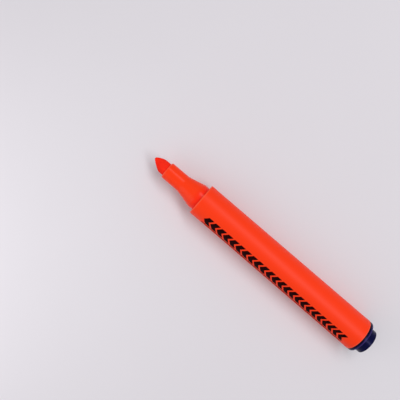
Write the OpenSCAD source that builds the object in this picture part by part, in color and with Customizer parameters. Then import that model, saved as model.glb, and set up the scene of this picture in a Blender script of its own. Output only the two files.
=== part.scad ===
// Felt marker pen with a slanted chisel nib, lying on its side without its cap.
// The pen lies along X with its nib towards +X. The origin is on the surface under the middle of its length.
// Each piece is drawn upright about the pen's axis, with z = 0 at the barrel's mouth and +z towards the nib,
// and is then laid down by lay_down().

/* [Barrel] */
// Length of the barrel from its mouth to its tail
barrel_length = 90.6; // [75:0.1:120]
// Outer diameter of the barrel at its mouth
barrel_mouth_d = 15.2; // [13.5:0.1:18]
// Growth of the barrel's outer diameter from its mouth to its tail
barrel_draft = 0.3; // [0:0.05:1]
// Wall of the barrel at its mouth
barrel_wall = 1.3; // [1:0.05:1.6]
// Length of the straight band at each end of the barrel, which the pen lies on
band_length = 1.6; // [0.5:0.1:4]
// Height of those bands above the drafted wall between them
band_height = 0.03; // [0.02:0.01:0.1]
// Rounding of the barrel's outer edge at its mouth
mouth_rounding = 0.4; // [0.1:0.05:0.6]
// Rounding of the barrel's outer edge at its tail
tail_rounding = 0.35; // [0.1:0.05:0.6]
// Chamfer on the inner edges of the barrel
bore_chamfer = 0.25; // [0.1:0.05:0.4]
// Number of ribs in the barrel that centre the reservoir
rib_count = 4; // [3:1:8]
// Width of a rib
rib_width = 0.8; // [0.5:0.1:1.5]
// Height of a rib above the bore
rib_height = 0.75; // [0.4:0.05:1.2]
// Free length between a rib's end and the spigot beside it
rib_end_gap = 0.5; // [0.2:0.1:2]

/* [Nib holder] */
// Step in radius from the barrel's bore down to the collar that a cap grips
collar_step = 0.42; // [0.3:0.02:0.8]
// Length of the collar, up to where its line meets the cone's
collar_length = 2.2; // [1.6:0.1:6]
// Length of the cone between the collar and the snout
cone_length = 7.9; // [5:0.1:12]
// Radius of the blends at the two ends of the cone
cone_blend_radius = 5; // [2:0.5:8]
// Length of the snout, from the cone to its lip
snout_length = 9.35; // [6:0.05:16]
// Wall of the snout at its lip
snout_wall = 0.85; // [0.5:0.05:1]
// Growth of the snout's diameter from its lip to the cone
snout_draft = 0.05; // [0:0.05:0.8]
// Rounding of the lip's outer edge
lip_rounding = 0.35; // [0.1:0.05:0.45]
// Number of vent grooves in the nib's socket
vent_count = 4; // [2:1:6]
// Width of a vent groove
vent_width = 0.6; // [0.3:0.1:1]
// Depth of a vent groove
vent_depth = 0.25; // [0.1:0.05:0.35]
// Length of the spigot that is pressed into the barrel's mouth
holder_spigot_length = 8; // [5:0.5:14]
// Wall of that spigot
holder_wall = 1.4; // [1:0.05:1.8]

/* [Nib] */
// Diameter of the felt rod
nib_d = 6.1; // [4.5:0.1:7]
// How far the nib's toe stands out of the lip
nib_reach = 7.25; // [6.5:0.05:12]
// How deep the nib's tail reaches into the reservoir
nib_feed = 5; // [2:0.5:12]
// Half the angle between the two flats of the chisel
nib_wedge_angle = 46; // [30:1:60]
// Slant of the chisel's edge from square
nib_slant = 25; // [0:1:40]
// Turn of the chisel about the pen's axis, from upright
nib_roll = 12; // [0:1:180]
// Radius of the chisel's edge
nib_edge_radius = 0.3; // [0.1:0.05:0.6]
// Rounding of the toe and heel at the ends of the chisel's edge
nib_toe_rounding = 0.8; // [0.2:0.1:1.5]
// Chamfer on the nib's tail
nib_tail_chamfer = 0.4; // [0.1:0.1:1]

/* [Reservoir] */
// Thickness of the film round the fibre core
film_thickness = 0.15; // [0.1:0.05:0.4]
// Chamfer at the mouth of the core's socket
core_chamfer = 0.4; // [0.1:0.1:1]

/* [End plug] */
// Step in radius from the barrel's tail down to the flange
flange_inset = 0.1; // [0:0.05:0.6]
// Thickness of the flange
flange_thickness = 1.45; // [1:0.05:3]
// Rounding of the flange's outer rear edge
flange_rounding = 0.2; // [0.1:0.05:0.9]
// Rounding of the flange's outer front edge, beside the barrel's tail
flange_edge_rounding = 0.3; // [0.1:0.05:0.5]
// Step in radius from the collar down to the knob, so that a cap posts easily
knob_step = 0.1; // [0:0.05:0.4]
// Length of the knob
knob_length = 3.7; // [2:0.1:6]
// Rounding of the knob's end edge
knob_rounding = 0.3; // [0.1:0.05:1]
// Radius of the fillet between the knob and the flange
knob_fillet = 0.25; // [0.1:0.05:0.6]
// Diameter of the dimple in the knob's end
dimple_d = 2.6; // [1:0.1:4]
// Depth of that dimple
dimple_depth = 0.35; // [0.1:0.05:0.6]
// Wall of the knob and thickness of its end
plug_wall = 1.3; // [0.9:0.05:1.8]
// Length of the plug's spigot inside the barrel
plug_spigot_length = 8; // [5:0.5:14]
// Number of seal beads on the spigot
bead_count = 2; // [1:1:4]
// Width of a bead's crest
bead_width = 0.7; // [0.4:0.1:1.2]
// Height of a bead above the spigot
bead_height = 0.12; // [0.05:0.01:0.25]
// Chamfer that leads a spigot into the barrel
spigot_lead = 0.5; // [0.2:0.1:1]
// Thickness of the crossed fins that hold the reservoir forward
pusher_thickness = 1; // [0.6:0.1:2]
// How far those fins stand out of the spigot
pusher_reach = 1.3; // [0.5:0.1:5]

/* [Fits] */
// Radial gap of the holder's spigot in the barrel
press_gap = 0.02; // [0.01:0.01:0.05]
// Radial gap of the plug's beads in the barrel
bead_gap = 0.04; // [0.02:0.01:0.08]
// Radial gap of the nib in its socket and in the core
nib_gap = 0.05; // [0.02:0.01:0.09]
// Free length behind the nib's tail
nib_end_gap = 0.1; // [0.05:0.05:0.5]
// Gap between the film and the ribs
reservoir_gap = 0.05; // [0.02:0.01:0.2]
// Gap between the core and its film
film_gap = 0.02; // [0.01:0.01:0.05]
// Gap between the plug's fins and the reservoir
pusher_gap = 0.1; // [0.05:0.05:0.5]

/* [Hidden] */
$fn = 96;
// Steps of a rounded edge and of a blend
ARC_STEPS = 6;
// How far a cut runs past the face it opens, and a fin sinks into the wall it stands on
CUT = 1;
SINK = 0.3;

ORANGE = [1.00, 0.26, 0.14];
FELT = [0.93, 0.16, 0.09];
INKED_FIBRE = [0.96, 0.36, 0.22];
FILM = [0.93, 0.90, 0.88];
NAVY = [0.07, 0.08, 0.22];

// Radii
mouth_r = barrel_mouth_d / 2;
tail_r = mouth_r + barrel_draft / 2;
bore_r = mouth_r - barrel_wall;
rib_r = bore_r - rib_height;
collar_r = bore_r - collar_step;
nib_r = nib_d / 2;
socket_r = nib_r + nib_gap;
lip_r = socket_r + snout_wall;
snout_root_r = lip_r + snout_draft / 2;
holder_spigot_r = bore_r - press_gap;
chamber_r = holder_spigot_r - holder_wall;
shoulder_chamfer = min(bore_chamfer, collar_step / 2);
film_r = rib_r - reservoir_gap;
core_r = film_r - film_thickness - film_gap;
flange_r = tail_r - flange_inset;
knob_r = collar_r - knob_step;
cavity_r = knob_r - plug_wall;
bead_r = bore_r - bead_gap;
plug_spigot_r = bead_r - bead_height;

// Stations along the axis, from the barrel's mouth
tail_z = -barrel_length;
cone_z = collar_length;
snout_z = cone_z + cone_length;
lip_z = snout_z + snout_length;
toe_z = lip_z + nib_reach;
reservoir_front_z = -holder_spigot_length;
nib_tail_z = reservoir_front_z - nib_feed;
plug_front_z = tail_z + plug_spigot_length;
pusher_z = plug_front_z + pusher_reach;
reservoir_rear_z = pusher_z + pusher_gap;
flange_z = tail_z - flange_thickness;
knob_z = flange_z - knob_length;
reservoir_length = reservoir_front_z - reservoir_rear_z;

// The cone's slope and the reach of its blends
cone_angle = atan((collar_r - snout_root_r) / cone_length);
blend_reach = cone_blend_radius * tan(cone_angle / 2);

// Place of the barrel's mouth on X, so that the pen's middle is at x = 0
mouth_x = -(toe_z + knob_z) / 2;

// Points of an arc about [r, z], from one angle to another in degrees
function arc(r, z, radius, from, to) =
    [for (i = [0:ARC_STEPS])
        let (a = from + (to - from) * i / ARC_STEPS)
            [r + radius * cos(a), z + radius * sin(a)]];

// Lays an upright piece down along X, on the surface that the pen lies on
module lay_down() {
    translate([mouth_x, 0, tail_r]) rotate([0, 90, 0]) children();
}

// A round bar from one station to another
module bar(radius, from, to) {
    translate([0, 0, from]) cylinder(r = radius, h = to - from);
}

// A round bar that changes radius from one station to another
module taper(from_radius, to_radius, from, to) {
    translate([0, 0, from]) cylinder(r1 = from_radius, r2 = to_radius, h = to - from);
}

// Copies a shape evenly round the axis
module around(count) {
    for (i = [0:count - 1]) rotate(360 * i / count) children();
}

module barrel_ribs() {
    front = reservoir_front_z - rib_end_gap;
    rear = plug_front_z + rib_end_gap;
    around(rib_count)
        translate([rib_r, -rib_width / 2, rear]) cube([rib_height + SINK, rib_width, front - rear]);
}

module barrel() {
    tail_band_z = tail_z + tail_rounding + band_length;
    mouth_band_z = -mouth_rounding - band_length;
    outline = concat(
        [[0, tail_z]],
        arc(tail_r - tail_rounding, tail_z + tail_rounding, tail_rounding, -90, 0),
        [[tail_r, tail_band_z],
         [tail_r - band_height, tail_band_z + band_height],
         [mouth_r - band_height, mouth_band_z - band_height],
         [mouth_r, mouth_band_z]],
        arc(mouth_r - mouth_rounding, -mouth_rounding, mouth_rounding, 0, 90),
        [[0, 0]]);
    color(ORANGE) lay_down() {
        difference() {
            rotate_extrude() polygon(outline);
            bar(bore_r, tail_z - CUT, CUT);
            taper(bore_r, bore_r + bore_chamfer + CUT, -bore_chamfer, CUT);
            taper(bore_r + bore_chamfer + CUT, bore_r, tail_z - CUT, tail_z + bore_chamfer);
        }
        barrel_ribs();
    }
}

// Collar, cone and snout outside, with the spigot behind the mouth
module nib_holder_outside() {
    outline = concat(
        [[0, reservoir_front_z],
         [holder_spigot_r - spigot_lead, reservoir_front_z],
         [holder_spigot_r, reservoir_front_z + spigot_lead],
         [holder_spigot_r, -shoulder_chamfer],
         [holder_spigot_r - shoulder_chamfer, 0],
         [collar_r, 0]],
        arc(collar_r - cone_blend_radius, cone_z - blend_reach, cone_blend_radius, 0, cone_angle),
        arc(snout_root_r + cone_blend_radius, snout_z + blend_reach, cone_blend_radius, 180 + cone_angle, 180),
        arc(lip_r - lip_rounding, lip_z - lip_rounding, lip_rounding, 0, 90),
        [[0, lip_z]]);
    rotate_extrude() polygon(outline);
}

module nib_holder() {
    funnel_end = chamber_r - socket_r;
    color(ORANGE) lay_down()
        difference() {
            nib_holder_outside();
            bar(socket_r, reservoir_front_z - CUT, lip_z + CUT);
            bar(chamber_r, reservoir_front_z - CUT, 0);
            taper(chamber_r, socket_r, 0, funnel_end);
            around(vent_count)
                translate([0, -vent_width / 2, 0]) cube([socket_r + vent_depth, vent_width, lip_z + CUT]);
        }
}

// The felt rod before its chisel is cut
module nib_rod() {
    outline = concat(
        [[0, nib_tail_z],
         [nib_r - nib_tail_chamfer, nib_tail_z],
         [nib_r, nib_tail_z + nib_tail_chamfer]],
        arc(nib_r - nib_toe_rounding, toe_z - nib_toe_rounding, nib_toe_rounding, 0, 90),
        [[0, toe_z]]);
    rotate_extrude() polygon(outline);
}

// Two flats that meet in a rounded edge at the origin, with the nib behind them
module nib_wedge() {
    side = nib_r + CUT;
    edge_x = nib_edge_radius * (sin(nib_wedge_angle) - 1);
    edge_y = nib_edge_radius * cos(nib_wedge_angle);
    shoulder_x = edge_x - (side - edge_y) / tan(nib_wedge_angle);
    back_x = nib_tail_z - toe_z - 2 * side;
    outline = concat(
        [[back_x, -side], [shoulder_x, -side]],
        arc(-nib_edge_radius, 0, nib_edge_radius, nib_wedge_angle - 90, 90 - nib_wedge_angle),
        [[shoulder_x, side], [back_x, side]]);
    height = 2 * (toe_z - nib_tail_z);
    translate([0, 0, -height / 2]) linear_extrude(height) polygon(outline);
}

module chisel_nib() {
    edge_z = toe_z - nib_r * tan(nib_slant);
    color(FELT) lay_down() rotate(nib_roll)
        intersection() {
            nib_rod();
            translate([0, 0, edge_z]) rotate([0, -90, 0]) rotate([0, nib_slant, 0]) nib_wedge();
        }
}

module ink_reservoir() {
    socket_floor = nib_tail_z - nib_end_gap;
    color(INKED_FIBRE) lay_down()
        difference() {
            bar(core_r, reservoir_rear_z, reservoir_front_z);
            bar(socket_r, socket_floor, reservoir_front_z + CUT);
            taper(socket_r, socket_r + core_chamfer + CUT, reservoir_front_z - core_chamfer,
                  reservoir_front_z + CUT);
        }
}

module reservoir_film() {
    color(FILM) lay_down()
        difference() {
            bar(film_r, reservoir_rear_z, reservoir_front_z);
            bar(core_r + film_gap, reservoir_rear_z - CUT, reservoir_front_z + CUT);
        }
}

// Seal beads, evenly spaced along the plug's spigot
module plug_beads() {
    pitch = plug_spigot_length / (bead_count + 1);
    for (i = [1:bead_count])
        translate([0, 0, tail_z + i * pitch]) rotate_extrude() polygon([
            [plug_spigot_r - SINK, -bead_width / 2 - bead_height],
            [plug_spigot_r, -bead_width / 2 - bead_height],
            [bead_r, -bead_width / 2],
            [bead_r, bead_width / 2],
            [plug_spigot_r, bead_width / 2 + bead_height],
            [plug_spigot_r - SINK, bead_width / 2 + bead_height]]);
}

// Two crossed fins along the plug's cavity
module plug_pusher() {
    span = 2 * (cavity_r + SINK);
    floor_z = knob_z + plug_wall;
    for (turn = [45, 135])
        rotate(turn) translate([-span / 2, -pusher_thickness / 2, floor_z - SINK])
            cube([span, pusher_thickness, pusher_z - floor_z + SINK]);
}

module end_plug() {
    outline = concat(
        [[0, knob_z]],
        arc(knob_r - knob_rounding, knob_z + knob_rounding, knob_rounding, -90, 0),
        arc(knob_r + knob_fillet, flange_z - knob_fillet, knob_fillet, 180, 90),
        arc(flange_r - flange_rounding, flange_z + flange_rounding, flange_rounding, -90, 0),
        arc(flange_r - flange_edge_rounding, tail_z - flange_edge_rounding, flange_edge_rounding, 0, 90),
        [[plug_spigot_r, tail_z],
         [plug_spigot_r, plug_front_z - spigot_lead],
         [plug_spigot_r - spigot_lead, plug_front_z],
         [0, plug_front_z]]);
    color(NAVY) lay_down() {
        difference() {
            rotate_extrude() polygon(outline);
            bar(cavity_r, knob_z + plug_wall, plug_front_z + CUT);
            bar(dimple_d / 2, knob_z - CUT, knob_z + dimple_depth);
        }
        plug_beads();
        plug_pusher();
    }
}

barrel();
nib_holder();
chisel_nib();
ink_reservoir();
reservoir_film();
end_plug();
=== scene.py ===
"""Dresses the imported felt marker: fine surfaces, finishes, print, light and camera."""
import logging
import math
from abc import ABC, abstractmethod
from dataclasses import dataclass
from enum import Enum
from typing import Any

import bmesh
import bpy
import numpy as np
from mathutils import Matrix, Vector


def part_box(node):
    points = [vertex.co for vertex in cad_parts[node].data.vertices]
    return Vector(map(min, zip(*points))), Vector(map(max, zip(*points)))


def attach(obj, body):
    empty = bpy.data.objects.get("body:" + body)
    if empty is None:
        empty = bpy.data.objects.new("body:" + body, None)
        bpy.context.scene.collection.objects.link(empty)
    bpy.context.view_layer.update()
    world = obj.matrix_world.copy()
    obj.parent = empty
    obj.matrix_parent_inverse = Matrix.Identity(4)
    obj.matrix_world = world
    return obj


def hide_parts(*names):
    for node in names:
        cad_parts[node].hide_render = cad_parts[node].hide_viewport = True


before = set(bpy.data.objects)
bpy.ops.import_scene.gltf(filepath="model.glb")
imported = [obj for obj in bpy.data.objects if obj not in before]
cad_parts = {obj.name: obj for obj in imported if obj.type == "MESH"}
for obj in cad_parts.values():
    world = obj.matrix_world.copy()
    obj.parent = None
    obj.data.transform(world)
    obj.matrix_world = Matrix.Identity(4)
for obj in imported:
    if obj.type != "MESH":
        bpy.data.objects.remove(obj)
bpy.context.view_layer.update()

LOG = logging.getLogger("felt_marker")
MM = 0.001
SEGMENTS = 360
ARC_STEPS = 10
SHARP_ANGLE = math.radians(32)
MERGE_DISTANCE = 1e-8
SLIVER_LENGTH = 1e-9


class Ends(Enum):
    """How a revolved profile ends."""

    LOOP = "meets its own start, round a hole"
    POLES = "closes on the axis at both ends"


class Body(Enum):
    """The bodies that pieces ride on."""

    PEN = "pen"
    NIB = "nib"
    PLUG = "plug"


class Slot(Enum):
    """The record's material slots."""

    ORANGE = "orange_plastic"
    NAVY = "navy_plastic"
    FELT = "nib_felt"
    FIBRE = "inked_fibre"
    FILM = "clear_film"


class Pattern(Enum):
    """The noise patterns, each with its own shift so that no two of a material match."""

    MAIN = 0.0
    SKIN = 1.3
    PORES = 2.9
    SCUFFS = 3.7
    PINHOLES = 4.4
    SOAKING = 5.1
    WRINKLES = 8.2


@dataclass(frozen=True)
class Colour:
    """A colour as it looks on a screen, each channel from 0 to 255."""

    red: float
    green: float
    blue: float

    def linear(self) -> tuple[float, float, float, float]:
        """Gives the colour as linear light, by the sRGB curve.

        Returns:
            Red, green, blue and a full alpha.
        """
        screen = np.array([self.red, self.green, self.blue]) / 255
        light = np.where(screen <= 0.04045, screen / 12.92, ((screen + 0.055) / 1.055) ** 2.4)
        return (*light.tolist(), 1.0)

    def scaled(self, share: float) -> "Colour":
        """Gives the same hue, darker or lighter by a share of its screen values."""
        return Colour(*(min(255.0, part * share) for part in (self.red, self.green, self.blue)))


@dataclass(frozen=True)
class Shades:
    """A material's own colour, with a paler and a deeper one: strands and soaked ink in fibre, but a painted
    highlight and painted shade in moulded plastic.
    """

    base: Colour
    pale: Colour
    deep: Colour


WHITE = Colour(255, 255, 255)


@dataclass(frozen=True)
class Palette:
    """The colours of the pen's pieces."""

    # In orange and navy, pale is the colour of the painted highlights on rims and deep that of the painted
    # shade in corners.
    orange: Shades = Shades(Colour(254, 58, 14), Colour(255, 104, 72), Colour(248, 34, 12))
    navy: Shades = Shades(Colour(6, 9, 52), Colour(70, 54, 124), Colour(6, 5, 26))
    navy_gloss: Colour = Colour(188, 184, 255)
    felt: Shades = Shades(Colour(246, 38, 18), Colour(252, 52, 26), Colour(232, 30, 14))
    fibre: Shades = Shades(Colour(250, 108, 72), Colour(255, 150, 112), Colour(238, 74, 40))
    film: Colour = Colour(238, 234, 232)
    ink: Colour = Colour(27, 2, 3)


@dataclass(frozen=True)
class PenAxis:
    """The pen's axis, a line along X: where the barrel's mouth lies on it, and its height, in metres."""

    mouth_x: float
    height: float

    @classmethod
    def packed(cls) -> "PenAxis":
        """Finds the axis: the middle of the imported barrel's box, with the mouth at the box's +X end."""
        low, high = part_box("barrel")
        return cls(high.x, (low.z + high.z) / 2)

    def points(self, station: np.ndarray, across: np.ndarray, up: np.ndarray) -> np.ndarray:
        """Places points by millimetres from the barrel's mouth and from the axis.

        Args:
            station: distance along the axis from the mouth, towards the nib.
            across: distance from the axis towards +Y.
            up: distance from the axis towards +Z.

        Returns:
            Points in metres, with X, Y and Z along the last axis of the array.
        """
        station, across, up = np.broadcast_arrays(station, across, up)
        return np.stack([self.at(station), across * MM, self.height + up * MM], axis=-1)

    def at(self, station: Any) -> Any:
        """Gives the X, in metres, of a station or an array of stations in millimetres from the mouth."""
        return self.mouth_x + station * MM


@dataclass(frozen=True)
class Span:
    """Where a node lies along the axis, from the barrel's mouth, and its largest radius, in millimetres."""

    rear: float
    front: float
    radius: float

    @classmethod
    def of(cls, node: str, axis: PenAxis) -> "Span":
        """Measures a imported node.

        Args:
            node: the node's name.
            axis: the pen's axis.

        Returns:
            The node's span along that axis.
        """
        low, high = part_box(node)
        return cls((low.x - axis.mouth_x) / MM, (high.x - axis.mouth_x) / MM, (high.y - low.y) / 2 / MM)


class Number:
    """A number in a shader: arithmetic on it adds Math nodes to its graph."""

    def __init__(self, graph: "Graph", socket: bpy.types.NodeSocket) -> None:
        """Keeps the graph and the output socket that carries the number."""
        self.graph = graph
        self.socket = socket

    def _math(self, operation: str, first: Any, second: Any = None) -> "Number":
        """Adds one Math node.

        Args:
            operation: the Math node's operation.
            first: the first operand, a Number or a plain number.
            second: the second operand, if the operation takes one.

        Returns:
            The node's result.
        """
        operands = {0: first} if second is None else {0: first, 1: second}
        made = self.graph.node("ShaderNodeMath", {"operation": operation}, operands)
        return Number(self.graph, made.outputs[0])

    def __add__(self, other: Any) -> "Number":
        """Adds a number."""
        return self._math("ADD", self, other)

    __radd__ = __add__

    def __sub__(self, other: Any) -> "Number":
        """Takes a number away."""
        return self._math("SUBTRACT", self, other)

    def __rsub__(self, other: Any) -> "Number":
        """Takes this number away from another."""
        return self._math("SUBTRACT", other, self)

    def __mul__(self, other: Any) -> "Number":
        """Multiplies by a number."""
        return self._math("MULTIPLY", self, other)

    __rmul__ = __mul__

    def __abs__(self) -> "Number":
        """Drops the sign."""
        return self._math("ABSOLUTE", self)

    def rise(self, low: float, high: float) -> "Number":
        """Goes smoothly from 0 to 1 as this number goes from low to high.

        Args:
            low: the value that gives 0.
            high: the value that gives 1; below low, the curve falls instead.

        Returns:
            A number from 0 to 1.
        """
        ends = {"Value": self, "From Min": low, "From Max": high}
        made = self.graph.node("ShaderNodeMapRange", {"interpolation_type": "SMOOTHSTEP"}, ends)
        return Number(self.graph, made.outputs[0])

    def near(self, centre: float, reach: float) -> "Number":
        """Gives 1 where this number equals centre, falling to 0 at reach from it."""
        return abs(self - centre).rise(reach, 0.0)


class Graph:
    """The node tree of one material, with its surface shader and its Object coordinates."""

    def __init__(self, name: str) -> None:
        """Makes an empty material with a Principled surface.

        Args:
            name: the material's name.
        """
        self.material = bpy.data.materials.new(name)
        self.material.use_nodes = True
        self.tree = self.material.node_tree
        self.tree.nodes.clear()
        self.surface = self.node("ShaderNodeBsdfPrincipled")
        self.node("ShaderNodeOutputMaterial", None, {"Surface": self.surface.outputs[0]})
        self.place = self.node("ShaderNodeTexCoord").outputs["Object"]

    def feed(self, socket: bpy.types.NodeSocket, value: Any) -> None:
        """Links a Number or a socket into a socket, or sets a plain value on it.

        Args:
            socket: the input socket.
            value: what goes into it.
        """
        if isinstance(value, Number):
            self.tree.links.new(value.socket, socket)
        elif isinstance(value, bpy.types.NodeSocket):
            self.tree.links.new(value, socket)
        else:
            socket.default_value = value

    def node(self, kind: str, settings: dict[str, Any] | None = None,
             inputs: dict[Any, Any] | None = None) -> bpy.types.Node:
        """Adds one node.

        Args:
            kind: the node's type.
            settings: its settings, which are set first.
            inputs: values or links of its sockets, by name or by place.

        Returns:
            The new node.
        """
        made = self.tree.nodes.new(kind)
        for key, value in (settings or {}).items():
            setattr(made, key, value)
        for key, value in (inputs or {}).items():
            self.feed(made.inputs[key], value)
        return made

    def axes(self) -> tuple[Number, ...]:
        """Gives the X, Y and Z of the Object coordinates."""
        made = self.node("ShaderNodeSeparateXYZ", None, {0: self.place})
        return tuple(Number(self, made.outputs[part]) for part in range(3))

    def noise(self, grain_mm: tuple[float, float, float], detail: float = 2.0,
              pattern: Pattern = Pattern.MAIN) -> Number:
        """Gives soft noise from 0 to 1.

        Args:
            grain_mm: the size of its grains along X, Y and Z.
            detail: how many finer layers it has.
            pattern: which pattern it is, so that two uses differ.

        Returns:
            The noise as a Number.
        """
        scale = tuple(1 / (grain * MM) for grain in grain_mm)
        shifted = {"Vector": self.place, "Location": (pattern.value,) * 3, "Scale": scale}
        moved = self.node("ShaderNodeMapping", None, shifted)
        grains = {"Vector": moved.outputs[0], "Scale": 1.0, "Detail": detail}
        return Number(self, self.node("ShaderNodeTexNoise", None, grains).outputs[0])

    def blend(self, share: Any, first: Any, second: Any) -> bpy.types.NodeSocket:
        """Mixes two colours.

        Args:
            share: the share of the second colour, from 0 to 1.
            first: a Colour or a socket.
            second: a Colour or a socket.

        Returns:
            The socket of the mixed colour.
        """
        first, second = (part.linear() if isinstance(part, Colour) else part for part in (first, second))
        made = self.node("ShaderNodeMix", {"data_type": "RGBA"}, {0: share, 6: first, 7: second})
        return made.outputs[2]

    def mottled(self, noise: Number, colour: Colour, spread: float) -> bpy.types.NodeSocket:
        """Varies a colour with noise, from darker to lighter by a share of its screen values."""
        return self.blend(noise, colour.scaled(1 - spread), colour.scaled(1 + spread))

    def bump(self, height: Number, strength: float, depth_mm: float) -> bpy.types.NodeSocket:
        """Turns a height into a normal.

        Args:
            height: the height, from 0 to 1.
            strength: the share of the bump that shows.
            depth_mm: the height that 1 stands for.

        Returns:
            The socket of the bumped normal.
        """
        inputs = {"Strength": strength, "Distance": depth_mm * MM, "Height": height}
        return self.node("ShaderNodeBump", None, inputs).outputs[0]

    def dress(self, **sockets: Any) -> bpy.types.Material:
        """Sets sockets of the surface shader.

        Args:
            **sockets: values or links, by the socket's name with _ for a space.

        Returns:
            The material.
        """
        for key, value in sockets.items():
            self.feed(self.surface.inputs[key.replace("_", " ")], value)
        return self.material


@dataclass(frozen=True)
class MouldedPlastic:
    """Injection-moulded plastic: soft mottling, a fine skin, faint scuffs, painted highlights at the rims
    and painted shade in the corners.

    The painted highlights and the painted shade lie at stations along the axis. They, their reaches and
    highlight_radius are in millimetres.
    """

    name: str
    axis: PenAxis
    shades: Shades
    roughness: float
    gloss: float
    # Stations of the painted highlights on the rims, then of the painted shade in the corners.
    highlight_stations: tuple[float, ...]
    corners: tuple[float, ...] = ()
    highlight_band_reach: float = 0.45
    shade_band_reach: float = 5.0
    highlight_radius: float = 0.0
    tint: Colour = WHITE
    highlight_cover: float = 0.55
    shade_cover: float = 0.85
    mottle_mm: float = 14.0
    mottle_share: float = 0.015
    mottle_rough: float = 0.05
    scuff_mm: tuple[float, float, float] = (9.0, 0.16, 0.16)
    scuff_levels: tuple[float, float] = (0.60, 0.74)
    scuff_rough: float = 0.07
    scuff_height: float = 0.4
    skin_mm: float = 0.35
    skin_strength: float = 0.35
    skin_depth_mm: float = 0.004

    def band(self, graph: Graph, station: float, reach: float, radius: float = 0.0) -> Number:
        """Gives how much of a band round the axis shows.

        Args:
            graph: the material's graph.
            station: the band's place along the axis.
            reach: how far it fades out to both sides.
            radius: the radius inside which it fades too, over the same reach, or 0 for a band at all radii.

        Returns:
            A number that is 1 in the middle of the band.
        """
        along, across, up = graph.axes()
        share = along.near(self.axis.at(station), reach * MM)
        if radius:
            lift = up - self.axis.height
            outward = across * across + lift * lift
            share = share * outward.rise(((radius - reach) * MM) ** 2, (radius * MM) ** 2)
        return share

    def with_painted_light(self, graph: Graph, base: bpy.types.NodeSocket) -> bpy.types.NodeSocket:
        """Blends the painted highlights at the rims and the painted shade in the corners over the base
        colour.

        Args:
            graph: the material's graph.
            base: the socket of the base colour.

        Returns:
            The socket of the blended colour.
        """
        # Painted highlight: the paler colour in bands at the rims.
        for station in self.highlight_stations:
            share = self.band(graph, station, self.highlight_band_reach, self.highlight_radius) * self.highlight_cover
            base = graph.blend(share, base, self.shades.pale)
        # Painted shade: the deeper colour in bands at the corners.
        for station in self.corners:
            share = self.band(graph, station, self.shade_band_reach) * self.shade_cover
            base = graph.blend(share, base, self.shades.deep)
        return base

    def build(self) -> bpy.types.Material:
        """Builds the material: colour, gloss and skin all vary a little over the surface.

        Returns:
            The material.
        """
        graph = Graph(self.name)
        mottle = graph.noise((self.mottle_mm,) * 3, detail=3.0)
        base = self.with_painted_light(graph, graph.mottled(mottle, self.shades.base, self.mottle_share))
        scuff = graph.noise(self.scuff_mm, 4.0, Pattern.SCUFFS).rise(*self.scuff_levels)
        rough = self.roughness + self.mottle_rough * mottle + self.scuff_rough * scuff
        skin = graph.noise((self.skin_mm,) * 3, 2.0, Pattern.SKIN)
        normal = graph.bump(skin + self.scuff_height * scuff, self.skin_strength, self.skin_depth_mm)
        return graph.dress(Base_Color=base, Roughness=rough, Specular_IOR_Level=self.gloss,
                           Specular_Tint=self.tint.linear(), Normal=normal)


@dataclass(frozen=True)
class InkedFibre:
    """Bonded fibre soaked in ink: paler strands along the pen, deeper patches and a matt, furrowed skin."""

    name: str
    shades: Shades
    strand_mm: float
    furrow_depth_mm: float
    strand_length_mm: float = 2.6
    soak_mm: float = 2.2
    strand_levels: tuple[float, float] = (0.42, 0.72)
    soak_levels: tuple[float, float] = (0.45, 0.75)
    soak_cover: float = 0.6
    pore_height: float = 0.5
    furrow_strength: float = 0.6
    roughness: float = 0.72
    pore_rough: float = 0.18
    gloss: float = 0.1

    def build(self) -> bpy.types.Material:
        """Builds the material from stretched noise for the strands and soft noise for the ink.

        Returns:
            The material.
        """
        graph = Graph(self.name)
        strand = graph.noise((self.strand_length_mm, self.strand_mm, self.strand_mm), detail=3.0)
        soak = graph.noise((self.soak_mm,) * 3, 3.0, Pattern.SOAKING)
        pores = graph.noise((self.strand_mm,) * 3, 2.0, Pattern.PORES)
        base = graph.blend(strand.rise(*self.strand_levels), self.shades.base, self.shades.pale)
        base = graph.blend(soak.rise(*self.soak_levels) * self.soak_cover, base, self.shades.deep)
        normal = graph.bump(strand + self.pore_height * pores, self.furrow_strength, self.furrow_depth_mm)
        return graph.dress(Base_Color=base, Roughness=self.roughness + self.pore_rough * pores,
                           Specular_IOR_Level=self.gloss, Normal=normal)


@dataclass(frozen=True)
class ClearFilm:
    """Thin clear film: nearly colourless, glossy, a little cloudy, with fine wrinkles."""

    name: str
    colour: Colour
    cover: float = 0.42
    cloud_mm: float = 5.0
    cloud_cover: float = 0.2
    roughness: float = 0.12
    cloud_rough: float = 0.14
    wrinkle_mm: tuple[float, float, float] = (6.0, 1.1, 1.1)
    wrinkle_strength: float = 0.4
    wrinkle_depth_mm: float = 0.03

    def build(self) -> bpy.types.Material:
        """Builds the material: cloudy patches cover more of what lies behind.

        Returns:
            The material.
        """
        graph = Graph(self.name)
        cloud = graph.noise((self.cloud_mm,) * 3, detail=3.0)
        wrinkle = graph.noise(self.wrinkle_mm, 3.0, Pattern.WRINKLES)
        return graph.dress(Base_Color=self.colour.linear(),
                           Roughness=self.roughness + self.cloud_rough * cloud,
                           Alpha=self.cover + self.cloud_cover * cloud,
                           Normal=graph.bump(wrinkle, self.wrinkle_strength, self.wrinkle_depth_mm))


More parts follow.
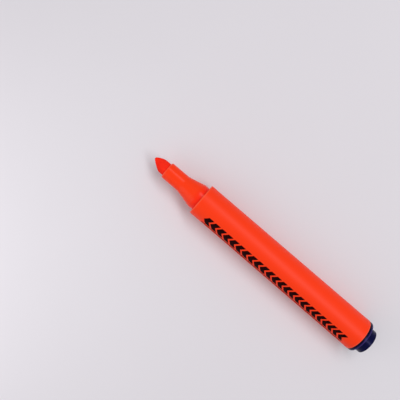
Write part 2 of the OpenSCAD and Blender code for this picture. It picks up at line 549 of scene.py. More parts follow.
@dataclass(frozen=True)
class PrintInk:
    """A thin layer of warm black ink: a little uneven, with pinholes that show the plastic under it."""

    name: str
    colour: Colour
    ground: Colour
    body_mm: float = 1.8
    body_share: float = 1.5
    pinhole_mm: float = 0.22
    pinhole_levels: tuple[float, float] = (0.70, 0.80)
    pinhole_cover: float = 0.5
    roughness: float = 0.5
    body_rough: float = 0.12
    gloss: float = 0.03

    def build(self) -> bpy.types.Material:
        """Builds the material from fine noise for the pinholes and soft noise for the ink's body.

        Returns:
            The material.
        """
        graph = Graph(self.name)
        body = graph.noise((self.body_mm,) * 3, detail=3.0)
        pinhole = graph.noise((self.pinhole_mm,) * 3, 2.0, Pattern.PINHOLES).rise(*self.pinhole_levels)
        base = graph.blend(body, self.colour, self.colour.scaled(self.body_share))
        base = graph.blend(pinhole * self.pinhole_cover, base, self.ground)
        return graph.dress(Base_Color=base, Roughness=self.roughness + self.body_rough * body,
                           Specular_IOR_Level=self.gloss)


@dataclass(frozen=True)
class PaleFloor:
    """A plain pale, matt floor with a barely visible unevenness."""

    name: str
    colour: Colour
    patch_mm: float = 60.0
    patch_share: float = 0.005
    roughness: float = 0.9
    gloss: float = 0.1

    def build(self) -> bpy.types.Material:
        """Builds the material from one pale colour and soft noise.

        Returns:
            The material.
        """
        graph = Graph(self.name)
        base = graph.mottled(graph.noise((self.patch_mm,) * 3), self.colour, self.patch_share)
        return graph.dress(Base_Color=base, Roughness=self.roughness, Specular_IOR_Level=self.gloss)


def add_object(name: str, data: Any) -> bpy.types.Object:
    """Puts something into the scene as an object at the origin.

    Args:
        name: the object's name.
        data: its mesh, light or camera.

    Returns:
        The object.
    """
    made = bpy.data.objects.new(name, data)
    bpy.context.scene.collection.objects.link(made)
    return made


class Mesher:
    """Turns whole arrays of points into closed meshes whose faces point outwards."""

    def __init__(self, axis: PenAxis) -> None:
        """Keeps the axis that pieces are turned about."""
        self.axis = axis

    @staticmethod
    def grid_faces(rows: int, columns: int, loop: bool = False) -> np.ndarray:
        """Numbers the quads of a grid whose columns go round.

        Args:
            rows: how many rings of points there are.
            columns: how many points a ring has.
            loop: whether the last ring joins the first.

        Returns:
            An array of four point numbers per face.
        """
        row = np.arange(rows if loop else rows - 1)[:, None]
        column = np.arange(columns)[None, :]
        after_row = (row + 1) % rows
        after_column = (column + 1) % columns
        corners = np.broadcast_arrays(row * columns + column, after_row * columns + column,
                                      after_row * columns + after_column, row * columns + after_column)
        return np.stack(corners, axis=-1).reshape(-1, 4)

    @staticmethod
    def volume(points: np.ndarray, faces: np.ndarray) -> float:
        """Gives the volume that quads enclose, as a sum of pyramids over their halves.

        Args:
            points: points in metres, one per row.
            faces: four point numbers per face.

        Returns:
            The volume, which is negative if the quads point inwards.
        """
        a, b, c, d = (points[faces[:, corner]] for corner in range(4))
        halves = np.einsum("ij,ij->i", a, np.cross(b, c)) + np.einsum("ij,ij->i", a, np.cross(c, d))
        return float(halves.sum()) / 6

    @staticmethod
    def angles() -> np.ndarray:
        """Gives the angles of a turned piece's columns, from the top towards +Y."""
        return np.arange(SEGMENTS) * (2 * math.pi / SEGMENTS)

    def comb(self, count: int, width_mm: float, radius_mm: float) -> np.ndarray:
        """Marks the columns that lie on evenly spaced ribs or grooves, the first of them at the top.

        Args:
            count: how many ribs there are.
            width_mm: a rib's width.
            radius_mm: the radius that the width is measured at.

        Returns:
            True for each column on a rib.
        """
        pitch = 2 * math.pi / count
        offset = (self.angles() + pitch / 2) % pitch - pitch / 2
        return np.abs(offset) * radius_mm <= width_mm / 2

    def piece(self, name: str, points: np.ndarray, faces: np.ndarray) -> bpy.types.Object:
        """Makes an object of quads, merges points that coincide, and turns its faces outwards.

        Args:
            name: the object's name.
            points: points in metres, with X, Y and Z along the last axis of the array.
            faces: four point numbers per face.

        Returns:
            The object, linked to the scene and smooth but for its sharp edges.
        """
        points = points.reshape(-1, 3)
        if self.volume(points, faces) < 0:
            faces = faces[:, ::-1]
        mesh = bpy.data.meshes.new(name)
        mesh.from_pydata(points.tolist(), [], faces.tolist())
        work = bmesh.new()
        work.from_mesh(mesh)
        bmesh.ops.remove_doubles(work, verts=work.verts, dist=MERGE_DISTANCE)
        bmesh.ops.dissolve_degenerate(work, edges=work.edges, dist=SLIVER_LENGTH)
        work.to_mesh(mesh)
        work.free()
        mesh.polygons.foreach_set("use_smooth", np.ones(len(mesh.polygons), dtype=bool))
        mesh.set_sharp_from_angle(angle=SHARP_ANGLE)
        return add_object(name, mesh)

    def revolve(self, name: str, profile: np.ndarray, ends: Ends,
                radii: np.ndarray | None = None) -> bpy.types.Object:
        """Turns a profile about the pen's axis: a point at (station, radius) goes round a full circle.

        Args:
            name: the object's name.
            profile: stations and radii in millimetres, one point per row.
            ends: how the profile ends.
            radii: radii that differ round the circle, one row per profile point, or None.

        Returns:
            The closed piece.
        """
        angle = self.angles()[None, :]
        radius = profile[:, 1:2] if radii is None else radii
        points = self.axis.points(profile[:, :1], radius * np.sin(angle), radius * np.cos(angle))
        return self.piece(name, points, self.grid_faces(len(profile), SEGMENTS, ends is Ends.LOOP))

    def bars(self, name: str, points: np.ndarray) -> bpy.types.Object:
        """Carries four-cornered sections along their rows: closed bars, with a face at both ends of each.

        Args:
            name: the object's name.
            points: points in metres: bars, rows, corners, then X, Y and Z.

        Returns:
            All the bars as one piece.
        """
        many, rows, corners, _ = points.shape
        caps = np.array([[3, 2, 1, 0], [0, 1, 2, 3]]) + np.array([[0], [(rows - 1) * corners]])
        one = np.concatenate([self.grid_faces(rows, corners), caps])
        faces = one[None, :, :] + (np.arange(many) * rows * corners)[:, None, None]
        return self.piece(name, points, faces.reshape(-1, 4))


def arc(station: float, radius: float, bend: float, start: float, stop: float) -> np.ndarray:
    """Gives the points of a rounded edge in a profile.

    Args:
        station: the station of the arc's centre.
        radius: the radius of the arc's centre from the pen's axis.
        bend: the arc's own radius.
        start: its first angle in degrees, from the nib's direction towards the outside.
        stop: its last angle.

    Returns:
        Stations and radii, one point per row.
    """
    angle = np.radians(np.linspace(start, stop, ARC_STEPS + 1))
    return np.stack([station + bend * np.cos(angle), radius + bend * np.sin(angle)], axis=-1)


def run(start: Any, stop: Any, steps: int = 1) -> np.ndarray:
    """Gives the points of a straight stretch of a profile, both ends included."""
    return np.linspace(start, stop, steps + 1)


def finish_piece(piece: bpy.types.Object, body: Body, slot: Slot, material: bpy.types.Material,
                 *nodes: str) -> bpy.types.Object:
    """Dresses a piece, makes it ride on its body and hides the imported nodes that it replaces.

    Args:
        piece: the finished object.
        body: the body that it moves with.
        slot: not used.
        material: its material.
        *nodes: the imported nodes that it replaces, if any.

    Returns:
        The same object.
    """
    piece.data.materials.append(material)
    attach(piece, body.value)
    if nodes:
        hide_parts(*nodes)
    return piece


class SubAssembly(ABC):
    """A group of the pen's pieces that builds its own meshes and dresses them."""

    @abstractmethod
    def make(self, mesher: Mesher, palette: Palette) -> list[bpy.types.Object]:
        """Builds and dresses the pieces.

        Args:
            mesher: makes the meshes.
            palette: the pen's colours.

        Returns:
            The finished pieces.
        """


@dataclass
class Barrel(SubAssembly):
    """The long tube with its draft, rounded rims and inner ribs. Sizes are in millimetres."""

    axis: PenAxis
    span: Span
    mouth_radius: float = 7.6
    wall: float = 1.3
    mouth_rounding: float = 0.4
    tail_rounding: float = 0.35
    band_length: float = 1.6
    band_height: float = 0.03
    bore_chamfer: float = 0.25
    rib_count: int = 4
    rib_width: float = 0.8
    rib_height: float = 0.75
    rib_reach: float = 8.5
    rib_step: float = 0.01
    rows: int = 40
    roughness: float = 0.38
    gloss: float = 0.15
    # How far in from the mouth and from the tail the painted highlights on the rims lie.
    mouth_highlight_inset: float = 0.25
    tail_highlight_inset: float = 0.2

    @property
    def bore(self) -> float:
        """Gives the radius of the bore."""
        return self.mouth_radius - self.wall

    def wall_ends(self) -> np.ndarray:
        """Gives the two ends of the drafted wall, at the tail's band and at the mouth's.

        Returns:
            Stations and radii, one point per row.
        """
        tail = self.span.rear + self.tail_rounding + self.band_length + self.band_height
        mouth = self.span.front - self.mouth_rounding - self.band_length - self.band_height
        return np.array([(tail, self.span.radius - self.band_height),
                         (mouth, self.mouth_radius - self.band_height)])

    def wall_radius(self, station: np.ndarray) -> np.ndarray:
        """Gives the drafted wall's outer radius at stations between its ends."""
        ends = self.wall_ends()
        return np.interp(station, ends[:, 0], ends[:, 1])

    def outside(self) -> np.ndarray:
        """Gives the outer outline from the tail on: rim, straight band, drafted wall, band and rim.

        Returns:
            Stations and radii, one point per row.
        """
        tail_edge = self.span.rear + self.tail_rounding
        mouth_edge = self.span.front - self.mouth_rounding
        tail_end, mouth_end = self.wall_ends()
        return np.concatenate([
            arc(tail_edge, self.span.radius - self.tail_rounding, self.tail_rounding, 180, 90),
            [(tail_edge + self.band_length, self.span.radius)],
            run(tail_end, mouth_end, self.rows),
            [(mouth_edge - self.band_length, self.mouth_radius)],
            arc(mouth_edge, self.mouth_radius - self.mouth_rounding, self.mouth_rounding, 90, 0)])

    def build(self, mesher: Mesher) -> bpy.types.Object:
        """Turns the wall's outline about the axis; ribs stand in from the bore over their own columns.

        Args:
            mesher: makes the mesh.

        Returns:
            The barrel.
        """
        rear, front = self.span.rear, self.span.front
        rib_rear, rib_front = rear + self.rib_reach, front - self.rib_reach
        outside = self.outside()
        inside = np.array([
            (front, self.bore + self.bore_chamfer),
            (front - self.bore_chamfer, self.bore),
            (rib_front, self.bore),
            (rib_front - self.rib_step, self.bore),
            (rib_rear + self.rib_step, self.bore),
            (rib_rear, self.bore),
            (rear + self.bore_chamfer, self.bore),
            (rear, self.bore + self.bore_chamfer)])
        profile = np.concatenate([outside, inside])
        station = profile[:, :1]
        in_bore = np.arange(len(profile))[:, None] >= len(outside)
        ribbed = in_bore & (station > rib_rear) & (station < rib_front)
        on_rib = mesher.comb(self.rib_count, self.rib_width, self.bore)
        radii = profile[:, 1:2] - self.rib_height * (ribbed & on_rib[None, :])
        return mesher.revolve("barrel_tube", profile, Ends.LOOP, radii)

    def finish(self, palette: Palette) -> bpy.types.Material:
        """Gives satin orange plastic with a painted highlight on the rim at the mouth and at the tail."""
        highlight_stations = (self.span.front - self.mouth_highlight_inset, self.span.rear + self.tail_highlight_inset)
        return MouldedPlastic("barrel_orange", self.axis, palette.orange, self.roughness, self.gloss,
                              highlight_stations).build()

    def make(self, mesher: Mesher, palette: Palette) -> list[bpy.types.Object]:
        """Builds and dresses the tube."""
        return [finish_piece(self.build(mesher), Body.PEN, Slot.ORANGE, self.finish(palette), "barrel")]


@dataclass
class BarrelPrint(SubAssembly):
    """A plain printed motif on the barrel's side: chevrons that thin out towards the tail, over two rules.

    Sizes are in millimetres, and angles in degrees from the top towards +Y.
    """

    barrel: Barrel
    first_station: float = -6.4
    count: int = 24
    thick: float = 2.7
    thin: float = 2.0
    gap: float = 0.92
    lead: float = 1.7
    top_angle: float = 29.0
    foot_angle: float = 63.0
    rule_angles: tuple[float, ...] = (69.0, 74.0)
    rule_widths: tuple[float, ...] = (0.5, 0.25)
    proud: float = 0.012
    sunk: float = 0.03
    steps: int = 16

    def strip(self, rear: np.ndarray, front: np.ndarray, angle: np.ndarray) -> np.ndarray:
        """Lays strips of ink on the barrel, each a four-cornered section carried along its rows.

        Args:
            rear: stations of a strip's rear edge, one row per strip.
            front: stations of its front edge.
            angle: angles of its rows in radians.

        Returns:
            Points in metres: strips, rows, corners, then X, Y and Z.
        """
        station = np.stack([rear, rear, front, front], axis=-1)
        offset = np.array([-self.sunk, self.proud, self.proud, -self.sunk])
        radius = self.barrel.wall_radius(station) + offset
        turn = angle[..., None]
        return self.barrel.axis.points(station, radius * np.sin(turn), radius * np.cos(turn))

    def chevrons(self) -> np.ndarray:
        """Gives the chevrons: a row leads by lead times one minus its distance from the bar's middle.

        Returns:
            Points in metres: chevrons, rows, corners, then X, Y and Z.
        """
        width = np.linspace(self.thick, self.thin, self.count)
        start = self.first_station - np.cumsum(width + self.gap) + self.gap
        side = np.linspace(-1, 1, self.steps + 1)
        lean = self.lead * (1 - np.abs(side))
        middle = (self.top_angle + self.foot_angle) / 2
        angle = np.radians(middle + side * (self.foot_angle - self.top_angle) / 2)
        rear = start[:, None] + lean - self.lead
        return self.strip(rear, rear + width[:, None], np.broadcast_to(angle, rear.shape))

    def last_station(self) -> float:
        """Gives the station where the row of chevrons ends."""
        total = (self.thick + self.thin) / 2 * self.count + self.gap * (self.count - 1)
        return self.first_station - total - self.lead

    def rules(self) -> np.ndarray:
        """Gives the two straight rules below the chevrons, each a narrow strip along the whole row.

        Returns:
            Points in metres: rules, rows, corners, then X, Y and Z.
        """
        centre = np.radians(np.array(self.rule_angles))[:, None]
        half = np.array(self.rule_widths)[:, None] / 2 / self.barrel.mouth_radius
        angle = centre + half * np.linspace(-1, 1, self.steps + 1)
        rear = np.full(angle.shape, self.last_station())
        front = np.full(angle.shape, self.first_station)
        return self.strip(rear, front, angle)

    def build(self, mesher: Mesher) -> bpy.types.Object:
        """Joins all the strips in one piece."""
        return mesher.bars("barrel_print", np.concatenate([self.chevrons(), self.rules()]))

    def make(self, mesher: Mesher, palette: Palette) -> list[bpy.types.Object]:
        """Builds the print and dresses it in black ink."""
        ink = PrintInk("print_ink", palette.ink, palette.orange.base).build()
        return [finish_piece(self.build(mesher), Body.PEN, Slot.ORANGE, ink)]


@dataclass
class NibHolder(SubAssembly):
    """The front section: spigot, collar, cone, snout and grooved socket. Sizes are in millimetres."""

    axis: PenAxis
    span: Span
    collar_radius: float = 5.88
    collar_length: float = 2.2
    cone_length: float = 7.9
    blend: float = 5.0
    root_radius: float = 3.975
    lip_radius: float = 3.95
    lip_rounding: float = 0.35
    bore_rounding: float = 0.12
    socket_radius: float = 3.1
    chamber_radius: float = 4.88
    spigot_lead: float = 0.5
    shoulder_chamfer: float = 0.21
    vent_count: int = 4
    vent_width: float = 0.6
    vent_depth: float = 0.25
    roughness: float = 0.26
    gloss: float = 0.15
    # How far behind the lip the painted highlight lies, and how far behind the barrel's mouth the painted
    # shade is darkest.
    lip_highlight_inset: float = 0.15
    mouth_shade: float = 0.4

    def outside(self) -> np.ndarray:
        """Gives the outer outline: the cone meets the collar and the snout in two tangent arcs.

        Returns:
            Stations and radii, one point per row.
        """
        rear, lip, spigot = self.span.rear, self.span.front, self.span.radius
        slope = math.atan((self.collar_radius - self.root_radius) / self.cone_length)
        reach = self.blend * math.tan(slope / 2)
        degrees = math.degrees(slope)
        root = self.collar_length + self.cone_length
        return np.concatenate([
            run((rear, spigot - self.spigot_lead), (rear + self.spigot_lead, spigot)),
            run((-self.shoulder_chamfer, spigot), (0.0, spigot - self.shoulder_chamfer)),
            run((0.0, self.collar_radius), (self.collar_length - reach, self.collar_radius), 4),
            arc(self.collar_length - reach, self.collar_radius - self.blend, self.blend, 90, 90 - degrees),
            arc(root + reach, self.root_radius + self.blend, self.blend, 270 - degrees, 270),
            run((root + reach, self.root_radius), (lip - self.lip_rounding, self.lip_radius), 12),
            arc(lip - self.lip_rounding, self.lip_radius - self.lip_rounding, self.lip_rounding, 90, 0)])

    def inside(self) -> np.ndarray:
        """Gives the bore's outline from the lip back: socket, funnel and chamber.

        Returns:
            Stations and radii, one point per row.
        """
        lip = self.span.front
        mouth = self.socket_radius + self.bore_rounding
        return np.concatenate([
            arc(lip - self.bore_rounding, mouth, self.bore_rounding, 0, -90),
            run((lip - 2 * self.bore_rounding, self.socket_radius),
                (self.chamber_radius - self.socket_radius, self.socket_radius), 6),
            run((0.0, self.chamber_radius), (self.span.rear, self.chamber_radius))])

    def build(self, mesher: Mesher) -> bpy.types.Object:
        """Turns the outline about the axis; vent grooves deepen the socket over their own columns.

        Args:
            mesher: makes the mesh.

        Returns:
            The nib holder.
        """
        outside, inside = self.outside(), self.inside()
        profile = np.concatenate([outside, inside])
        groove = mesher.comb(self.vent_count, self.vent_width, self.socket_radius)
        bored = (np.arange(len(profile)) >= len(outside)) & (profile[:, 0] > 0)
        deep = np.maximum(profile[:, 1:2], self.socket_radius + self.vent_depth)
        radii = np.where(bored[:, None] & groove[None, :], deep, profile[:, 1:2])
        return mesher.revolve("nib_holder_section", profile, Ends.LOOP, radii)

    def finish(self, palette: Palette) -> bpy.types.Material:
        """Gives glossier orange plastic, with a painted highlight at the lip and painted shade where the
        collar enters the barrel.
        """
        return MouldedPlastic("holder_orange", self.axis, palette.orange, self.roughness, self.gloss,
                              (self.span.front - self.lip_highlight_inset,), (-self.mouth_shade,)).build()

    def make(self, mesher: Mesher, palette: Palette) -> list[bpy.types.Object]:
        """Builds and dresses the section."""
        return [finish_piece(self.build(mesher), Body.PEN, Slot.ORANGE, self.finish(palette), "nib_holder")]


@dataclass
class ChiselNib(SubAssembly):
    """The felt rod with its slanted chisel end. Sizes are in millimetres and degrees."""

    axis: PenAxis
    span: Span
    toe_station: float = 26.7
    wedge_angle: float = 43.0
    slant: float = 25.0
    roll: float = 12.0
    edge_radius: float = 0.22
    toe_rounding: float = 0.6
    flat_softness: float = 14.0
    tail_chamfer: float = 0.4
    rows: int = 72
    row_crowding: float = 1.8
    chisel_depth: float = 4.2
    strand_width: float = 0.09
    furrow_depth: float = 0.05

    def depths(self) -> np.ndarray:
        """Gives the depths of the rows behind the edge: close together at the edge, wider behind it."""
        return self.chisel_depth * np.linspace(0, 1, self.rows) ** self.row_crowding

    def chisel(self) -> np.ndarray:
        """Gives the chisel's points.

        A row lies at one depth behind the slanted edge. Its half thickness is the soft minimum of the
        flats', the square root of (depth times the wedge's slope) squared plus twice the edge's radius times
        the depth, and of the rod's, its radius times the sine of the column's angle. Its height along the
        edge is the radius times that angle's cosine, and the toe and heel draw in near the edge.

        Returns:
            Points in metres: rows, columns, then X, Y and Z.
        """
        depth = self.depths()[:, None]
        angle = Mesher.angles()[None, :]
        left = np.clip(1 - depth / self.toe_rounding, 0, 1)
        radius = self.span.radius - self.toe_rounding * (1 - np.sqrt(1 - left ** 2))
        slope = math.tan(math.radians(self.wedge_angle))
        flat = np.sqrt((slope * depth) ** 2 + 2 * self.edge_radius * depth)
        rod = radius * np.abs(np.sin(angle))
        power = self.flat_softness
        tiny = 1e-6
        half = ((flat + tiny) ** -power + (rod + tiny) ** -power) ** (-1 / power)
        thick = np.where(np.minimum(flat, rod) <= tiny, 0, half) * np.sign(np.sin(angle))
        high = radius * np.cos(angle)
        setback = math.tan(math.radians(self.slant)) * (self.span.radius - high)
        return self.turned(self.toe_station - depth - setback, thick, high)

    def tail(self) -> np.ndarray:
        """Gives the rod's rings behind the chisel: straight back, a chamfer, and in to the axis.

        Returns:
            Points in metres: rings, columns, then X, Y and Z.
        """
        radius = self.span.radius
        rear = self.span.rear
        square = self.toe_station - self.chisel_depth - 2 * radius
        station = np.array([square, rear + self.tail_chamfer, rear, rear])[:, None]
        ring = np.array([radius, radius, radius - self.tail_chamfer, 0.0])[:, None]
        angle = Mesher.angles()[None, :]
        return self.turned(station, ring * np.sin(angle), ring * np.cos(angle))

    def turned(self, station: np.ndarray, thick: np.ndarray, high: np.ndarray) -> np.ndarray:
        """Turns points about the axis by the chisel's roll, and places them.

        Args:
            station: stations along the axis.
            thick: distances across the flats.
            high: distances along the chisel's edge, towards its toe.

        Returns:
            Points in metres.
        """
        turn = math.radians(self.roll)
        across = thick * math.cos(turn) - high * math.sin(turn)
        up = thick * math.sin(turn) + high * math.cos(turn)
        return self.axis.points(station, across, up)

    def build(self, mesher: Mesher) -> bpy.types.Object:
        """Joins the chisel's rows and the tail's rings in one closed surface."""
        rows = np.concatenate([self.chisel(), self.tail()])
        return mesher.piece("chisel_nib_felt", rows, mesher.grid_faces(len(rows), SEGMENTS))

    def make(self, mesher: Mesher, palette: Palette) -> list[bpy.types.Object]:
        """Builds the nib and dresses it in inked felt."""
        felt = InkedFibre("nib_felt", palette.felt, self.strand_width, self.furrow_depth).build()
        return [finish_piece(self.build(mesher), Body.NIB, Slot.FELT, felt, "chisel_nib")]


@dataclass
class Reservoir(SubAssembly):
    """The fibre core with the socket for the nib's tail, and its film sleeve. Sizes are in millimetres."""

    axis: PenAxis
    core: Span
    film: Span
    film_thickness: float = 0.15
    film_rounding: float = 0.03
    edge_rounding: float = 0.25
    socket_radius: float = 3.1
    socket_depth: float = 5.1
    socket_chamfer: float = 0.4
    strand_width: float = 0.16
    strand_length: float = 6.0
    furrow_depth: float = 0.08
    soak_size: float = 5.0

    def build_core(self, mesher: Mesher) -> bpy.types.Object:
        """Turns the core's outline about the axis, from the middle of its rear face to its socket's floor.

        Args:
            mesher: makes the mesh.

        Returns:
            The fibre core.
        """
        rear, front, radius = self.core.rear, self.core.front, self.core.radius
        floor = front - self.socket_depth
        profile = np.concatenate([
            run((rear, 0.0), (rear, radius - 2 * self.edge_rounding), 6),
            arc(rear + self.edge_rounding, radius - self.edge_rounding, self.edge_rounding, 180, 90),
            arc(front - self.edge_rounding, radius - self.edge_rounding, self.edge_rounding, 90, 0),
            run((front, self.socket_radius + self.socket_chamfer),
                (front - self.socket_chamfer, self.socket_radius)),
            run((floor, self.socket_radius), (floor, 0.0), 3)])
        return mesher.revolve("fibre_core", profile, Ends.POLES)

    def build_film(self, mesher: Mesher) -> bpy.types.Object:
        """Turns the sleeve's thin wall about the axis.

        Args:
            mesher: makes the mesh.

        Returns:
            The film sleeve.
        """
        rear, front, outer = self.film.rear, self.film.front, self.film.radius
        inner = outer - self.film_thickness
        edge = self.film_rounding
        profile = np.array([(rear, inner + edge), (rear, outer - edge), (rear + edge, outer),
                            (front - edge, outer), (front, outer - edge), (front, inner + edge),
                            (front - edge, inner), (rear + edge, inner)])
        return mesher.revolve("film_sleeve", profile, Ends.LOOP)

    def fibre(self, palette: Palette) -> bpy.types.Material:
        """Gives the core's inked fibre."""
        return InkedFibre("core_fibre", palette.fibre, self.strand_width, self.furrow_depth,
                          self.strand_length, self.soak_size).build()

    def make(self, mesher: Mesher, palette: Palette) -> list[bpy.types.Object]:
        """Builds the core and the sleeve, and dresses them in inked fibre and clear film."""
        core, sleeve = self.build_core(mesher), self.build_film(mesher)
        return [finish_piece(core, Body.PEN, Slot.FIBRE, self.fibre(palette), "ink_reservoir"),
                finish_piece(sleeve, Body.PEN, Slot.FILM, ClearFilm("clear_film", palette.film).build(),
                             "reservoir_film")]


@dataclass
class EndPlug(SubAssembly):
    """The tail plug: knob, flange, beaded spigot, cavity and the crossed fins in it.

    Sizes are in millimetres, but highlight_place and shade_place, where the painted highlight and the
    painted shade lie, are shares of the flange's thickness.
    """

    axis: PenAxis
    span: Span
    tail_station: float
    bore: float
    knob_radius: float = 5.78
    knob_rounding: float = 0.3
    knob_fillet: float = 0.25
    flange_thickness: float = 1.45
    flange_rounding: float = 0.2
    flange_edge: float = 0.3
    dimple_radius: float = 1.3
    dimple_depth: float = 0.35
    dimple_rounding: float = 0.15
    gate_radius: float = 0.45
    gate_height: float = 0.18
    spigot_length: float = 8.0
    spigot_lead: float = 0.5
    bead_gap: float = 0.04
    bead_height: float = 0.12
    bead_width: float = 0.7
    bead_count: int = 2
    wall: float = 1.3
    rim_break: float = 0.2
    fin_thickness: float = 1.0
    fin_sink: float = 0.3
    fin_turn: float = 45.0
    roughness: float = 0.24
    gloss: float = 0.14
    # Where the painted highlight and the painted shade lie on the flange, and how far they fade.
    highlight_place: float = 0.85
    highlight_reach: float = 0.75
    shade_place: float = 0.25
    shade_reach: float = 0.9

    @property
    def cavity(self) -> float:
        """Gives the radius of the cavity."""
        return self.knob_radius - self.wall

    def knob_outline(self) -> np.ndarray:
        """Gives the outline from the gate mark in the knob's dimple out to the flange's front edge.

        Returns:
            Stations and radii, one point per row.
        """
        end = self.span.rear
        floor = end + self.dimple_depth
        back = self.tail_station - self.flange_thickness
        gate = np.radians(np.linspace(0, 90, ARC_STEPS + 1))
        mark = np.stack([floor - self.gate_height * np.cos(gate), self.gate_radius * np.sin(gate)], axis=-1)
        return np.concatenate([
            mark,
            run((floor, self.dimple_radius - self.dimple_rounding),
                (end + self.dimple_rounding, self.dimple_radius)),
            arc(end + self.dimple_rounding, self.dimple_radius + self.dimple_rounding, self.dimple_rounding,
                270, 180),
            arc(end + self.knob_rounding, self.knob_radius - self.knob_rounding, self.knob_rounding,
                180, 90),
            arc(back - self.knob_fillet, self.knob_radius + self.knob_fillet, self.knob_fillet, 270, 360),
            arc(back + self.flange_rounding, self.span.radius - self.flange_rounding, self.flange_rounding,
                180, 90),
            arc(self.tail_station - self.flange_edge, self.span.radius - self.flange_edge, self.flange_edge,
                90, 0)])

    def spigot_outline(self) -> np.ndarray:
        """Gives the outline of the spigot with its beads, over its rim and down to the cavity's floor.

        Returns:
            Stations and radii, one point per row.
        """
        crest = self.bore - self.bead_gap
        skin = crest - self.bead_height
        front = self.tail_station + self.spigot_length
        pitch = self.spigot_length / (self.bead_count + 1)
        half = self.bead_width / 2
        shape = np.array([(-half - self.bead_height, skin), (-half, crest),
                          (half, crest), (half + self.bead_height, skin)])
        beads = np.concatenate([shape + (self.tail_station + pitch * (place + 1), 0.0)
                                for place in range(self.bead_count)])
        floor = self.span.rear + self.wall
        return np.concatenate([
            [(self.tail_station, skin)],
            beads,
            run((front - self.spigot_lead, skin), (front, skin - self.spigot_lead)),
            run((front, self.cavity + self.rim_break), (front - self.rim_break, self.cavity)),
            run((floor, self.cavity), (floor, 0.0), 3)])

    def build_shell(self, mesher: Mesher) -> bpy.types.Object:
        """Turns the plug's outline about the axis."""
        profile = np.concatenate([self.knob_outline(), self.spigot_outline()])
        return mesher.revolve("end_plug_shell", profile, Ends.POLES)

    def build_fins(self, mesher: Mesher) -> bpy.types.Object:
        """Carries two flat sections along the axis: crossed fins from the cavity's floor to past its rim.

        Args:
            mesher: makes the mesh.

        Returns:
            The crossed fins.
        """
        reach = self.cavity + self.fin_sink
        half = self.fin_thickness / 2
        section = np.array([(-reach, -half), (reach, -half), (reach, half), (-reach, half)])
        turn = np.radians(self.fin_turn + np.array([0.0, 90.0]))[:, None]
        across = section[:, 0] * np.cos(turn) - section[:, 1] * np.sin(turn)
        up = section[:, 0] * np.sin(turn) + section[:, 1] * np.cos(turn)
        station = np.array([self.span.rear + self.wall - self.fin_sink, self.span.front])[None, :, None]
        return mesher.bars("end_plug_fins", self.axis.points(station, across[:, None, :], up[:, None, :]))

    def finish(self, palette: Palette) -> bpy.types.Material:
        """Gives glossy navy plastic, with a painted violet highlight at the flange's rear edge and painted
        shade at its front, by the barrel's tail.

        Args:
            palette: the pen's colours.

        Returns:
            The material.
        """
        highlight_stations = (self.tail_station - self.highlight_place * self.flange_thickness,)
        corners = (self.tail_station - self.shade_place * self.flange_thickness,)
        return MouldedPlastic("plug_navy", self.axis, palette.navy, self.roughness, self.gloss, highlight_stations,
                              corners, self.highlight_reach, self.shade_reach, self.span.radius,
                              palette.navy_gloss).build()

    def make(self, mesher: Mesher, palette: Palette) -> list[bpy.types.Object]:
        """Builds the shell and the fins, and dresses both alike."""
        navy = self.finish(palette)
        return [finish_piece(self.build_shell(mesher), Body.PLUG, Slot.NAVY, navy, "end_plug"),
                finish_piece(self.build_fins(mesher), Body.PLUG, Slot.NAVY, navy)]


def facing(place: np.ndarray, forward: np.ndarray, up: np.ndarray) -> Matrix:
    """Gives the matrix of something at a place that looks along its own -Z.

    Args:
        place: where it is.
        forward: the direction that it looks in.
        up: the direction that its own Y leans towards.

    Returns:
        Its matrix in the world.
    """
    back = -forward / np.linalg.norm(forward)
    right = np.cross(up, back)
    right /= np.linalg.norm(right)
    matrix = np.eye(4)
    matrix[:3, :] = np.stack([right, np.cross(back, right), back, place], axis=-1)
    return Matrix(matrix.tolist())


@dataclass
class Softbox:
    """One soft light: where it hangs, where it points and the share of white that it gives there."""

    name: str
    place: np.ndarray
    target: np.ndarray
    width: float
    height: float
    share: float

    def hang(self, up: np.ndarray) -> None:
        """Hangs the light and turns it to its target.

        A surface that faces a small light of P watts at a distance d shows P / (pi * d) ** 2 of its colour.

        Args:
            up: the direction that its height leans towards.
        """
        forward = self.target - self.place
        data = bpy.data.lights.new(self.name, "AREA")
        data.shape = "RECTANGLE"
        data.size = self.width
        data.size_y = self.height
        data.energy = self.share * (math.pi * np.linalg.norm(forward)) ** 2
        add_object(self.name, data).matrix_world = facing(self.place, forward, up)


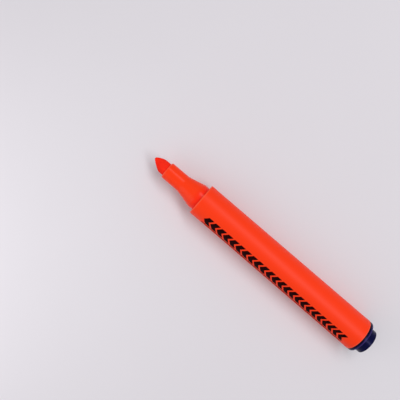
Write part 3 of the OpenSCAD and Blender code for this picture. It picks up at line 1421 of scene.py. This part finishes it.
@dataclass
class Studio:
    """The pale floor, the soft light and the camera above the barrel's mouth.

    Lengths are in metres, but the sensor's is in millimetres, and angles are in degrees.
    """

    axis: PenAxis
    focal_pixels: float = 515.0
    picture_pixels: float = 400.0
    sensor: float = 36.0
    clip_start: float = 0.01
    clip_end: float = 20.0
    camera_above_axis: float = 0.22506
    camera_from_mouth: float = 0.00003
    camera_across: float = 0.00057
    pen_turn: float = 40.69
    floor_width: float = 6.0
    floor_drop: float = 0.00002
    floor_colour: Colour = Colour(222, 218, 224)
    ambient: float = 0.47
    softbox_right: float = 0.28
    softbox_above: float = 0.05
    softbox_height: float = 0.65
    softbox_size: tuple[float, float] = (0.15, 0.80)
    softbox_share: float = 0.60
    softbox_lean: float = 9.0
    target_from_mouth: float = -0.04
    fill_place: tuple[float, float, float] = (0.10, 0.12, 0.08)
    fill_size: tuple[float, float] = (0.15, 0.15)
    fill_share: float = 0.25

    def picture_axes(self) -> tuple[np.ndarray, np.ndarray]:
        """Gives the level directions that are the picture's right and its up.

        Returns:
            Two unit vectors.
        """
        turn = math.radians(self.pen_turn)
        right = np.array((-math.cos(turn), -math.sin(turn), 0.0))
        return right, np.array((math.sin(turn), -math.cos(turn), 0.0))

    def camera(self) -> None:
        """Sets the camera straight above the pen, turned so that the pen lies across the picture."""
        data = bpy.data.cameras.new("camera")
        data.sensor_width = self.sensor
        data.lens = self.focal_pixels * self.sensor / self.picture_pixels
        data.dof.use_dof = False
        data.clip_start = self.clip_start
        data.clip_end = self.clip_end
        made = add_object("camera", data)
        _, up = self.picture_axes()
        place = np.array((self.axis.mouth_x + self.camera_from_mouth, self.camera_across,
                          self.axis.height + self.camera_above_axis))
        made.matrix_world = facing(place, np.array((0.0, 0.0, -1.0)), up)
        bpy.context.scene.camera = made

    def floor(self) -> None:
        """Lays the floor just under the pen."""
        half = self.floor_width / 2
        corners = np.array([(-half, -half), (half, -half), (half, half), (-half, half)])
        points = np.column_stack([corners, np.full(4, -self.floor_drop)])
        mesh = bpy.data.meshes.new("floor")
        mesh.from_pydata(points.tolist(), [], [(0, 1, 2, 3)])
        mesh.materials.append(PaleFloor("pale_floor", self.floor_colour).build())
        add_object("floor", mesh)

    def softboxes(self) -> None:
        """Hangs a tall softbox on the picture's right and a weak one low on its left."""
        right, up = self.picture_axes()
        mouth = np.array((self.axis.mouth_x, 0.0, 0.0))
        level = mouth + right * self.softbox_right + up * self.softbox_above
        place = level + (0.0, 0.0, self.softbox_height)
        target = mouth + (self.target_from_mouth, 0.0, self.axis.height)
        lean = math.radians(self.softbox_lean)
        tall = up * math.cos(lean) - right * math.sin(lean)
        Softbox("tall_softbox", place, target, *self.softbox_size, self.softbox_share).hang(tall)
        low = mouth + np.array(self.fill_place)
        Softbox("fill_softbox", low, mouth, *self.fill_size, self.fill_share).hang(up)

    def even_light(self) -> None:
        """Sets the white light that comes from all sides."""
        world = bpy.data.worlds.new("studio")
        world.use_nodes = True
        background = world.node_tree.nodes["Background"]
        background.inputs["Color"].default_value = WHITE.linear()
        background.inputs["Strength"].default_value = self.ambient
        bpy.context.scene.world = world

    def build(self) -> None:
        """Makes the camera, the floor and the light."""
        self.camera()
        self.floor()
        self.softboxes()
        self.even_light()
        bpy.context.scene.view_settings.view_transform = "Standard"


def main() -> None:
    """Builds the pen's sub-assemblies in order, reports each piece, and sets up the studio."""
    logging.basicConfig(level=logging.INFO, format="%(name)s: %(message)s")
    axis = PenAxis.packed()
    mesher = Mesher(axis)
    palette = Palette()
    barrel = Barrel(axis, Span.of("barrel", axis))
    parts: list[SubAssembly] = [
        barrel,
        BarrelPrint(barrel),
        NibHolder(axis, Span.of("nib_holder", axis)),
        ChiselNib(axis, Span.of("chisel_nib", axis)),
        Reservoir(axis, Span.of("ink_reservoir", axis), Span.of("reservoir_film", axis)),
        EndPlug(axis, Span.of("end_plug", axis), barrel.span.rear, barrel.bore)]
    for part in parts:
        for piece in part.make(mesher, palette):
            LOG.info("%s: %d faces", piece.name, len(piece.data.polygons))
    Studio(axis).build()


if __name__ == "__main__":
    main()
